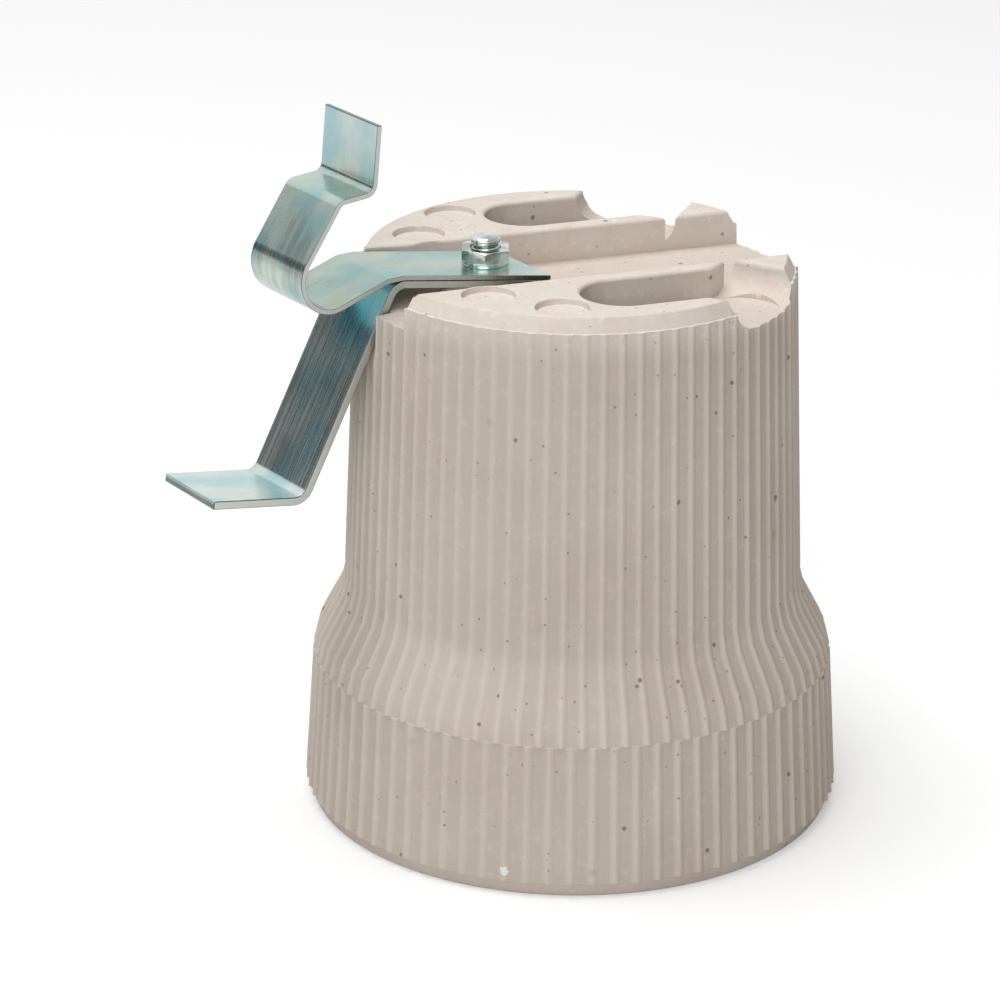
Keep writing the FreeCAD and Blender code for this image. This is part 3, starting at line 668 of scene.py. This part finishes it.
@dataclass(frozen=True)
class ZincStrip:
    """Zinc-plated rolled spring strip: bright, with a soft blue and straw bloom, rolling lines and painted dark
    reflection streaks.

    Its patterns lie along its bearing, and the upper leaf has painted shade where it lies in the channel.
    """

    name: str
    # the next three place the painted dark reflection streaks on the leaf and set their strength
    reflection_place: Triple
    reflection_reach: float
    reflection_share: float
    bloom_share: float
    # how much painted shade the leaf gets where it lies in the channel
    seat_shade_share: float
    end_line: Triple
    end_reach: float
    steel: Paint = colour(206, 217, 213)
    blue: Paint = colour(170, 205, 210)
    deep_blue: Paint = colour(122, 200, 218)
    # painted shade where the upper leaf lies in the porcelain channel
    seat_shade_tone: Paint = (0.71, 0.74, 0.68, 1.0)
    straw: Paint = colour(203, 210, 192)
    # painted dark reflection streaks
    painted_reflection: Paint = colour(92, 104, 106)
    sheared: Paint = colour(196, 202, 198)
    # a dark line along the edge roundings and the free end
    dark_edge_line: Paint = colour(70, 62, 54)
    bearing: float = 194.5
    seat_place: Triple = (-21.0, 2.0, 67.0)
    seat_reach: Pair = (12.0, 20.0)
    fold_place: Triple = (-25.8, 1.5, 62.5)
    fold_reach: Pair = (1.0, 6.5)
    # how far short of the free end its dark band starts and ends
    end_dark_band: Pair = (0.16, 0.08)
    bloom_scale: Triple = (150.0, 190.0, 150.0)
    straw_scale: Triple = (105.0, 140.0, 80.0)
    streak_scale: Triple = (45.0, 900.0, 45.0)
    line_scale: Triple = (30.0, 9000.0, 30.0)
    patch_scale: float = 170.0
    swell_scale: float = 260.0
    gloss: Pair = (0.2, 0.31)
    edge_gloss: float = 0.25

    def make(self) -> Material:
        """Build the material.

        Returns:
            The material.
        """
        graph = Graph(self.name)
        graph.tint = self.steel
        bloom = graph.noise(graph.mapped(self.bloom_scale, -self.bearing), 1.0, 2.0)
        graph.lay(graph.between(bloom, 0.36, 0.66), self.blue)
        other = graph.noise(graph.mapped(self.straw_scale, -self.bearing), 1.7, 2.0)
        graph.lay(graph.between(other, 0.5, 0.75, 0.0, 0.7), self.straw)
        graph.lay(graph.times(graph.near(self.fold_place, *self.fold_reach), self.bloom_share), self.deep_blue)
        # painted shade where the upper leaf lies in the porcelain channel
        seat_shaded = graph.blend(1.0, graph.tint, self.seat_shade_tone, "MULTIPLY")
        graph.lay(graph.times(graph.near(self.seat_place, *self.seat_reach), self.seat_shade_share), seat_shaded)
        # painted dark reflection: streaks along the rolling direction, in patches, round one spot of the leaf
        streaks = graph.noise(graph.mapped(self.streak_scale, -self.bearing), 1.0, 4.0, 0.6)
        patches = graph.between(graph.noise(graph.place, self.patch_scale, 2.0), 0.4, 0.6)
        painted_reflection = graph.times(graph.between(streaks, 0.42, 0.6, self.reflection_share, 0.0), patches)
        around = graph.near(self.reflection_place, self.reflection_reach * 0.5, self.reflection_reach)
        graph.lay(graph.times(painted_reflection, around), self.painted_reflection)
        # a dark line along the roundings beside the sheared sides, and a dark band on the free end
        across = graph.facing(at_bearing(self.bearing + 90.0))
        edge = graph.between(across, 0.86, 0.96)
        dark_edge_line = graph.compute("SUBTRACT", graph.between(across, 0.1, 0.3), edge)
        end = graph.beyond(self.end_line, *(self.end_reach - short for short in self.end_dark_band))
        graph.lay(edge, self.sheared)
        graph.lay(graph.times(dark_edge_line, 0.9), self.dark_edge_line)
        graph.lay(graph.times(end, 0.75), self.dark_edge_line)
        lines = graph.noise(graph.mapped(self.line_scale, -self.bearing), 1.0, 2.0)
        rough = graph.compute("ADD", graph.between(lines, 0.3, 0.7, *self.gloss), graph.times(edge, self.edge_gloss))
        graph.supply(graph.shader, Base_Color=graph.tint, Metallic=1.0, Roughness=rough)
        graph.grain(lines, 0.003, 0.5)
        graph.grain(graph.noise(graph.place, self.swell_scale, 2.0), 0.02, 0.3)
        return graph.material


@dataclass(frozen=True)
class TurnedMetal:
    """A turned, pressed or drawn metal part with fine marks and slightly uneven colour."""

    name: str
    bright: Paint
    dull: Paint
    low: float
    high: float
    stain_scale: float = 380.0
    mark_scale: Triple = (500.0, 500.0, 5200.0)

    def make(self) -> Material:
        """Build the material.

        Returns:
            The material.
        """
        graph = Graph(self.name)
        graph.tint = self.bright
        graph.lay(graph.between(graph.noise(graph.place, self.stain_scale, 4.0, 0.6), 0.38, 0.68), self.dull)
        lines = graph.noise(graph.mapped(self.mark_scale), 1.0, 2.0)
        rough = graph.between(lines, 0.3, 0.7, self.low, self.high)
        graph.supply(graph.shader, Base_Color=graph.tint, Metallic=1.0, Roughness=rough)
        graph.grain(lines, 0.006, 0.5)
        return graph.material


# The holder's sub-assemblies


@dataclass
class PorcelainCasting:
    """The one-piece casting: rounded ribs, softened rims and its raw finish.

    Each kind of edge has its own rounding: soft round the openings of the top face, smaller where two edges pass
    close to each other, and least on the tiny faces at the ribs' ends.
    """

    # Roundings
    opening: float = 0.5
    land_edge: float = 0.15
    recess_edge: float = 0.1
    rib_crest: float = 0.22
    rib_foot: float = 0.14
    rib_end: float = 0.05
    corner: float = 0.2
    lip: float = 0.3
    inside: float = 0.15
    least: float = 0.04
    rounding_faces: int = 3
    # Where each kind of edge lies
    top_level: float = 68.2
    recess_floor: float = 67.5
    notch_top: float = 67.2
    rib_top: float = 66.6
    upper_part: float = 60.0
    pocket_floor: float = 52.0
    rib_start: float = 2.5
    rib_reach: float = 25.3
    land_reach: float = 24.3
    channel_reach: float = 9.0
    channel_side: float = 9.3
    channel_end: float = -22.9
    notch_start: float = 8.0
    notch_side: float = 10.0
    recess_radius: float = 3.1
    recesses: tuple[Pair, ...] = ((-15.3, 12.25), (-15.3, -12.25), (-9.0, 19.1), (-9.0, -19.1))
    # Cuts in the channel's edges, from the nearest recess
    cuts: tuple[float, ...] = (-2.6, -1.9, -1.2, -0.6, 0.6, 1.2, 1.9, 2.6, 5.0, 9.0, 13.0, 17.0, 21.0, 25.0)
    # What counts as sharp, short, crowded, joined, upright, on a level or line, and close to one
    sharp: float = 24.0
    short: float = 1.2
    crowded: float = 0.3
    joined: float = 0.03
    upright: float = 0.8
    on_level: float = 0.004
    on_line: float = 0.02
    close_to: float = 0.1
    finish: RawPorcelain = RawPorcelain()

    def build(self) -> None:
        """Round a copy of the casting and dress it."""
        casting = merged_copy("porcelain_body", "porcelain_casting")
        self.weigh_edges(casting)
        bevel = casting.modifiers.new("rounding", "BEVEL")
        bevel.width = self.opening * MM
        bevel.segments = self.rounding_faces
        bevel.limit_method = "WEIGHT"
        bevel.loop_slide = False
        bevel.use_clamp_overlap = False
        facets = casting.modifiers.new("facets", "TRIANGULATE")
        facets.ngon_method = "BEAUTY"
        facets.min_vertices = 5
        apply_modifiers(casting)
        smooth(casting, SMOOTH_ANGLE)
        level_faces(casting)
        settle(casting, Body.HOLDER, Slot.PORCELAIN, self.finish.make(), "porcelain_body")

    def weigh_edges(self, casting: Piece) -> None:
        """Write each edge's rounding, as a share of the widest, for the bevel to read.

        Args:
            casting: the casting's merged copy.
        """
        mesh = bmesh.new()
        mesh.from_mesh(casting.data)
        bmesh.ops.remove_doubles(mesh, verts=mesh.verts, dist=self.joined * MM)
        self.cut_channel_edges(mesh)
        layer = mesh.edges.layers.float.new("bevel_weight_edge")
        for edge in mesh.edges:
            edge[layer] = self.rounding_of(edge) / self.opening
        mesh.to_mesh(casting.data)
        mesh.free()

    def on_top(self, *vertices: bmesh.types.BMVert) -> bool:
        """Whether vertices all lie on the flat top."""
        return all(abs(vertex.co.z / MM - self.top_level) < self.on_level for vertex in vertices)

    def top_faces(self, mesh: bmesh.types.BMesh) -> list[bmesh.types.BMFace]:
        """The faces of the flat top, as the mesh has them now."""
        return [face for face in mesh.faces if face.normal.z > 0.99 and self.on_top(*face.verts)]

    def cut_channel_edges(self, mesh: bmesh.types.BMesh) -> None:
        """Cut the channel's upper edges, so that beside a recess each short stretch has its own rounding.

        Args:
            mesh: the casting's mesh.
        """
        for cut in self.cuts:
            across = (self.recesses[0][0] + cut) * MM
            for edge in list(mesh.edges):
                low, high = sorted(edge.verts, key=lambda vertex: vertex.co.x)
                on_edge = self.on_top(low, high) and all(
                    abs(abs(vertex.co.y / MM) - self.channel_reach) < self.on_line for vertex in (low, high))
                if on_edge and low.co.x < across < high.co.x:
                    bmesh.utils.edge_split(edge, low, (across - low.co.x) / (high.co.x - low.co.x))
        bmesh.ops.triangulate(mesh, faces=self.top_faces(mesh))
        tops = self.top_faces(mesh)
        flat = set(tops)
        inner = [edge for edge in mesh.edges if edge.link_faces and flat.issuperset(edge.link_faces)]
        bmesh.ops.beautify_fill(mesh, faces=tops, edges=inner)

    def room_beside(self, first: Vector, second: Vector) -> float:
        """The width left for a rounding between an edge and the shallow recesses.

        Args:
            first: one end of the edge.
            second: its other end.

        Returns:
            The width, at least the least rounding.
        """
        room = self.opening
        along = (second - first).xy
        for recess in self.recesses:
            centre = Vector(recess)
            share = min(1.0, max(0.0, (centre - first.xy).dot(along) / along.length_squared))
            gap = (first.xy + along * share - centre).length
            room = min(room, gap - self.recess_radius - self.recess_edge)
        return max(room, self.least)

    def top_rounding(self, first: Vector, second: Vector) -> float:
        """The rounding of an edge of the flat top.

        Args:
            first: one end of the edge.
            second: its other end.

        Returns:
            The rounding.
        """
        if ((first + second) / 2).xy.length > self.land_reach:
            return self.land_edge
        gaps = (abs((first.xy - Vector(recess)).length - self.recess_radius) for recess in self.recesses)
        return self.recess_edge if min(gaps) < self.on_line else self.room_beside(first, second)

    def rib_rounding(self, edge: bmesh.types.BMEdge, first: Vector, second: Vector) -> float:
        """The rounding of an edge of the ribs or of the mouth's lip.

        Args:
            edge: the edge of the casting.
            first: one end of it.
            second: its other end.

        Returns:
            The rounding.
        """
        level, length = (first.z + second.z) / 2, (first - second).length
        if level < self.close_to:
            return self.lip
        if level < self.rib_start or length <= self.short or abs(first.z - second.z) <= self.upright * length:
            return self.rib_end
        beside = (near for vertex in edge.verts for near in vertex.link_edges)
        if max(first.z, second.z) > self.rib_top or any(near.calc_length() < self.crowded * MM for near in beside):
            return 0.0
        return self.rib_crest if edge.is_convex else self.rib_foot

    def rounding_of(self, edge: bmesh.types.BMEdge) -> float:
        """The rounding that suits one edge.

        Args:
            edge: the edge of the casting.

        Returns:
            Its rounding, 0 for one that stays as it is.
        """
        if len(edge.link_faces) != 2 or edge.calc_face_angle() < math.radians(self.sharp):
            return 0.0
        first, second = (vertex.co / MM for vertex in edge.verts)
        middle = (first + second) / 2
        if self.on_top(*edge.verts):
            return self.top_rounding(first, second)
        if middle.xy.length > self.rib_reach and middle.z < self.rib_top:
            return self.rib_rounding(edge, first, second)
        in_notch = (self.upper_part < middle.z < self.notch_top and middle.x > self.notch_start
                    and abs(middle.y) > self.notch_side)
        at_channel_end = middle.x < self.channel_end and abs(middle.y) < self.channel_side
        if in_notch or at_channel_end or abs(middle.z - self.pocket_floor) < self.close_to:
            return 0.0
        if abs(middle.z - self.recess_floor) < self.on_line or (first - second).length < self.short:
            return self.rib_end
        return self.corner if middle.z > self.upper_part else self.inside


@dataclass
class SpringClip:
    """The two folded leaves, their sheared edges lightly rounded."""

    edge: float = 0.16
    sharp: float = 40.0

    def build(self) -> None:
        """Soften a copy of each leaf and dress it."""
        upper = merged_copy("clip_upper_leaf", "upper_leaf")
        # Each leaf's painted dark reflection streaks lie round the given spot; only the upper leaf gets painted
        # shade where it lies in the channel.
        thin = ZincStrip("thin_zinc_strip", reflection_place=(-36.6, 0.2, 69.0), reflection_reach=11.0, reflection_share=0.42,
                         bloom_share=0.15, seat_shade_share=1.0, end_line=UP, end_reach=self.reach(upper, UP))
        lower = merged_copy("clip_lower_leaf", "lower_leaf")
        outward = at_bearing(ZincStrip.bearing)
        thick = ZincStrip("thick_zinc_strip", reflection_place=(-30.4, 1.8, 53.0), reflection_reach=14.0, reflection_share=0.28,
                          bloom_share=1.0, seat_shade_share=0.0, end_line=outward, end_reach=self.reach(lower, outward))
        for leaf, node, finish in ((upper, "clip_upper_leaf", thin), (lower, "clip_lower_leaf", thick)):
            soften_edges(leaf, self.edge, self.sharp)
            settle(leaf, Body.HOLDER, Slot.SPRING_STEEL, finish.make(), node)

    def reach(self, leaf: Piece, line: Triple) -> float:
        """How many millimetres a leaf's free end lies from the origin, along a unit vector."""
        return max(point.co.dot(Vector(line)) for point in leaf.data.vertices) / MM


@dataclass
class ClipFasteners:
    """The screw, split washer and nut that hold the leaves."""

    place: float = -11.3
    nut_edge: float = 0.07
    washer_edge: float = 0.06
    sharp: float = 28.0
    washer_sharp: float = 40.0
    seat_level: float = 67.9
    washer_height: float = 0.6
    nut_height: float = 1.4
    nut_turn: float = -10.0
    crest: float = 1.75
    core: float = 1.4
    thread_start: float = 68.6
    thread_end: float = 70.5
    shoulder: float = 0.08
    bevel_start: float = 70.85
    free_end: float = 71.15
    end_radius: float = 1.45
    thread: Ridge = Ridge(core=1.38, crest=1.75, width=0.574, pitch=0.7, start=68.6, turns=3, steps=40, corners=10)
    steel: TurnedMetal = TurnedMetal("plated_steel", colour(214, 219, 215), colour(150, 158, 152), 0.09, 0.2)

    def build(self) -> Material:
        """Soften the nut and washer, and give the screw's free end its thread.

        Returns:
            The fasteners' material.
        """
        plated = self.steel.make()
        nut = merged_copy("bracket_nut", "clip_nut")
        self.set_stack(nut, self.seat_level + self.washer_height, self.nut_height, self.nut_turn)
        washer = merged_copy("lock_washer", "clip_lock_washer")
        self.set_stack(washer, self.seat_level, self.washer_height, 0.0)
        screw = merged_copy("bracket_screw", "clip_screw")
        self.thin_end(screw)
        for piece, width, angle, node in ((nut, self.nut_edge, self.sharp, "bracket_nut"),
                                          (washer, self.washer_edge, self.washer_sharp, "lock_washer"),
                                          (screw, self.washer_edge, self.sharp, "bracket_screw")):
            soften_edges(piece, width, angle)
            settle(piece, Body.HOLDER, Slot.FASTENER, plated, node)
        thread = self.thread.wind("clip_screw_thread")
        edit_whole(thread)
        bpy.ops.transform.translate(value=(self.place * MM, 0.0, 0.0))
        bpy.ops.object.mode_set(mode="OBJECT")
        settle(thread, Body.HOLDER, Slot.FASTENER, plated)
        return plated

    def set_stack(self, piece: Piece, foot: float, height: float, turn: float) -> None:
        """Give a piece on the screw its photographed height, and turn it about the screw.

        Args:
            piece: the washer's or nut's merged copy.
            foot: the level of its underside.
            height: its height.
            turn: its turn about the screw.
        """
        levels = [point.co.z for point in piece.data.vertices]
        low, high = min(levels), max(levels)
        centre = (self.place * MM, 0.0, low)
        edit_whole(piece)
        bpy.ops.transform.resize(value=(1.0, 1.0, height * MM / (high - low)), center_override=centre)
        bpy.ops.transform.rotate(value=math.radians(turn), orient_axis="Z", center_override=centre)
        bpy.ops.transform.translate(value=(0.0, 0.0, foot * MM - low))
        bpy.ops.object.mode_set(mode="OBJECT")

    def thin_end(self, screw: Piece) -> None:
        """Cut the screw's free end down to its thread's core, with a bevelled first turn on top.

        Args:
            screw: the merged copy of the screw.
        """
        edit_whole(screw)
        bpy.ops.mesh.bisect(plane_co=(0.0, 0.0, self.thread_start * MM), plane_no=UP, use_fill=True,
                            clear_outer=True)
        level, radius = self.thread_start, self.crest
        steps = ((self.thread_start, self.core), (self.thread_end, self.core),
                 (self.thread_end + self.shoulder, self.crest), (self.bevel_start, self.crest),
                 (self.free_end, self.end_radius))
        for height, reach in steps:
            bpy.ops.mesh.extrude_region_move(TRANSFORM_OT_translate={"value": (0.0, 0.0, (height - level) * MM)})
            share = reach / radius
            bpy.ops.transform.resize(value=(share, share, 1.0), center_override=(self.place * MM, 0.0, height * MM))
            level, radius = height, reach
        bpy.ops.object.mode_set(mode="OBJECT")


@dataclass
class LampSocket:
    """The threaded shell, the centre contact and what holds them."""

    travel: float = 2.0
    sheet_edge: float = 0.12
    tip_edge: float = 0.15
    sharp: float = 35.0
    tip_sharp: float = 30.0
    thread: Ridge = Ridge(core=19.2, crest=18.0, width=5.4, pitch=6.35, start=14.2, turns=3, steps=72, corners=12)
    nickel: TurnedMetal = TurnedMetal("nickelled_sheet", colour(214, 208, 192), colour(186, 178, 156), 0.22, 0.4)
    brass: TurnedMetal = TurnedMetal("plain_brass", colour(214, 178, 112), colour(176, 140, 82), 0.2, 0.38)
    wire: TurnedMetal = TurnedMetal("spring_wire", colour(168, 170, 170), colour(120, 122, 124), 0.25, 0.4)

    def build(self) -> tuple[Material, Material]:
        """Make the rolled thread and dress the shell and contacts.

        Returns:
            The nickelled sheet's and the brass's materials.
        """
        nickel, brass = self.nickel.make(), self.brass.make()
        refine("screw_shell", "shell_sleeve", self.sheet_edge, self.sharp, Body.HOLDER, Slot.NICKEL, nickel)
        settle(self.thread.wind("rolled_thread"), Body.HOLDER, Slot.NICKEL, nickel)
        refine("contact_plunger", "centre_plunger", self.tip_edge, self.tip_sharp, Body.CENTRE_CONTACT,
               Slot.BRASS, brass)
        refine("contact_guide", "plunger_guide", self.sheet_edge, self.sharp, Body.HOLDER, Slot.BRASS, brass)
        self.add_spring()
        dress_node("live_contact_strip", brass)
        return nickel, brass

    def add_spring(self) -> None:
        """Dress a copy of the coil spring, which the plunger presses together against the strip."""
        spring = merged_copy("contact_spring", "plunger_spring")
        smooth(spring, SMOOTH_ANGLE)
        settle(spring, Body.HOLDER, Slot.WIRE, self.wire.make(), "contact_spring")
        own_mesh(spring)


@dataclass
class Terminals:
    """The two terminals: block, wire clamp, wire screw and fixing screw."""

    edge: float = 0.15
    sharp: float = 40.0
    head_sharp: float = 35.0

    def build(self, nickel: Material, brass: Material, plated: Material) -> None:
        """Soften and dress both terminals.

        Args:
            nickel: the clamps' and wire screws' material.
            brass: the blocks' material.
            plated: the fixing screws' material.
        """
        sides = (("live", Body.LIVE_CLAMP, Body.LIVE_SCREW), ("neutral", Body.NEUTRAL_CLAMP, Body.NEUTRAL_SCREW))
        for side, clamp_body, screw_body in sides:
            for node, name, angle, body, slot, material in (
                    ("terminal_block", "block", self.sharp, Body.HOLDER, Slot.BRASS, brass),
                    ("wire_clamp", "clamp", self.sharp, clamp_body, Slot.NICKEL, nickel),
                    ("wire_screw", "screw", self.head_sharp, screw_body, Slot.NICKEL, nickel),
                    ("fixing_screw", "fixing", self.sharp, Body.HOLDER, Slot.FASTENER, plated)):
                refine(f"{side}_{node}", f"{side}_{name}", self.edge, angle, body, slot, material)


# The studio


@dataclass
class Camera:
    """A long lens on the clip's side of the holder, looking a little down."""

    lens: float = 136.8
    sensor: float = 36.0
    target: Triple = (-8.25, 3.00, 36.85)
    distance: float = 455.4
    bearing: float = 20.0
    elevation: float = 21.27
    roll: float = 0.30
    nearest: float = 10.0
    farthest: float = 20000.0

    def build(self) -> None:
        """Add the camera and make it the scene's."""
        across, up = math.radians(self.bearing), math.radians(self.elevation)
        ahead = Vector((math.sin(across) * math.cos(up), math.cos(across) * math.cos(up), -math.sin(up)))
        data = bpy.data.cameras.new("portrait")
        data.lens = self.lens
        data.sensor_width = self.sensor
        data.clip_start = self.nearest * MM
        data.clip_end = self.farthest * MM
        camera = bpy.data.objects.new("portrait", data)
        camera.location = Vector(self.target) * MM - ahead * self.distance * MM
        turn = ahead.to_track_quat("-Z", "Y").to_matrix().to_4x4()
        camera.rotation_euler = (turn @ Matrix.Rotation(math.radians(self.roll), 4, "Z")).to_euler()
        bpy.context.scene.collection.objects.link(camera)
        bpy.context.scene.camera = camera


@dataclass(frozen=True)
class Softbox:
    """One white area lamp aimed at the holder, its power in watts."""

    name: str
    place: Triple
    size: float
    power: float
    aim: Triple = (0.0, 0.0, 0.035)

    def build(self) -> None:
        """Add the lamp."""
        data = bpy.data.lights.new(self.name, "AREA")
        data.shape = "DISK"
        data.size = self.size
        data.energy = self.power
        lamp = bpy.data.objects.new(self.name, data)
        lamp.location = self.place
        ahead = Vector(self.aim) - lamp.location
        lamp.rotation_euler = ahead.to_track_quat("-Z", "Y").to_euler()
        bpy.context.scene.collection.objects.link(lamp)


@dataclass
class Studio:
    """A pale table under soft lamps, with a white room round it and one dark card behind the clip."""

    table_size: float = 6.0
    table_paint: Paint = (0.7, 0.7, 0.7, 1.0)
    table_glow: float = 0.335
    room_light: float = 0.17
    matte: float = 0.9
    card_place: Triple = (-0.62, 0.50, 0.24)
    card_turn: Triple = (90.0, 0.0, 52.0)
    card_size: Triple = (0.5, 0.24, 1.0)
    card_paint: Paint = (0.02, 0.03, 0.035, 1.0)
    lamps: tuple[Softbox, ...] = (
        Softbox("key", (-0.42, -0.72, 0.55), 0.8, 4.1),
        Softbox("overhead", (-0.15, 0.1, 0.9), 0.7, 6.6),
    )

    def build(self) -> None:
        """Add the table, the room, the card and the lamps."""
        self.add_table()
        self.add_room()
        self.add_card()
        for lamp in self.lamps:
            lamp.build()
        bpy.context.scene.view_settings.view_transform = "Standard"

    def painted(self, name: str, paint: Paint) -> Graph:
        """A plain matte material.

        Args:
            name: its name.
            paint: its colour.

        Returns:
            Its nodes.
        """
        graph = Graph(name)
        graph.supply(graph.shader, Base_Color=paint, Roughness=self.matte)
        return graph

    def add_table(self) -> None:
        """A pale table top that keeps the holder's shadow."""
        deselect_all()
        bpy.ops.mesh.primitive_plane_add(size=self.table_size)
        table = bpy.context.object
        table.name = "table_top"
        graph = self.painted("pale_table", self.table_paint)
        rays = graph.add("LightPath").outputs
        glow = graph.times(graph.compute("MAXIMUM", rays["Is Camera Ray"], rays["Is Glossy Ray"]), self.table_glow)
        graph.supply(graph.shader, Emission_Color=WHITE, Emission_Strength=glow)
        table.data.materials.append(graph.material)

    def add_room(self) -> None:
        """A white room: full white to the camera and in reflections, softer as light."""
        world = bpy.data.worlds.new("white_room")
        bpy.context.scene.world = world
        world.use_nodes = True
        tree = world.node_tree
        background = tree.nodes["Background"]
        background.inputs["Color"].default_value = WHITE
        rays = tree.nodes.new("ShaderNodeLightPath")
        seen = tree.nodes.new("ShaderNodeMath")
        seen.operation = "MAXIMUM"
        tree.links.new(rays.outputs["Is Camera Ray"], seen.inputs[0])
        tree.links.new(rays.outputs["Is Glossy Ray"], seen.inputs[1])
        level = tree.nodes.new("ShaderNodeMapRange")
        level.inputs["To Min"].default_value = self.room_light
        level.inputs["To Max"].default_value = 1.0
        tree.links.new(seen.outputs[0], level.inputs["Value"])
        tree.links.new(level.outputs["Result"], background.inputs["Strength"])

    def add_card(self) -> None:
        """A dark card out of the camera's sight, which the clip's long leg mirrors."""
        deselect_all()
        bpy.ops.mesh.primitive_plane_add(size=1.0, location=self.card_place,
                                         rotation=tuple(math.radians(turn) for turn in self.card_turn))
        card = bpy.context.object
        card.name = "dark_card"
        card.scale = self.card_size
        card.visible_camera = False
        card.visible_diffuse = False
        card.visible_shadow = False
        card.data.materials.append(self.painted("dark_card", self.card_paint).material)


def main() -> None:
    """Build the studio, then dress the holder piece by piece."""
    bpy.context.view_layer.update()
    Camera().build()
    Studio().build()
    PorcelainCasting().build()
    SpringClip().build()
    plated = ClipFasteners().build()
    nickel, brass = LampSocket().build()
    Terminals().build(nickel, brass, plated)


if __name__ == "__main__":
    main()
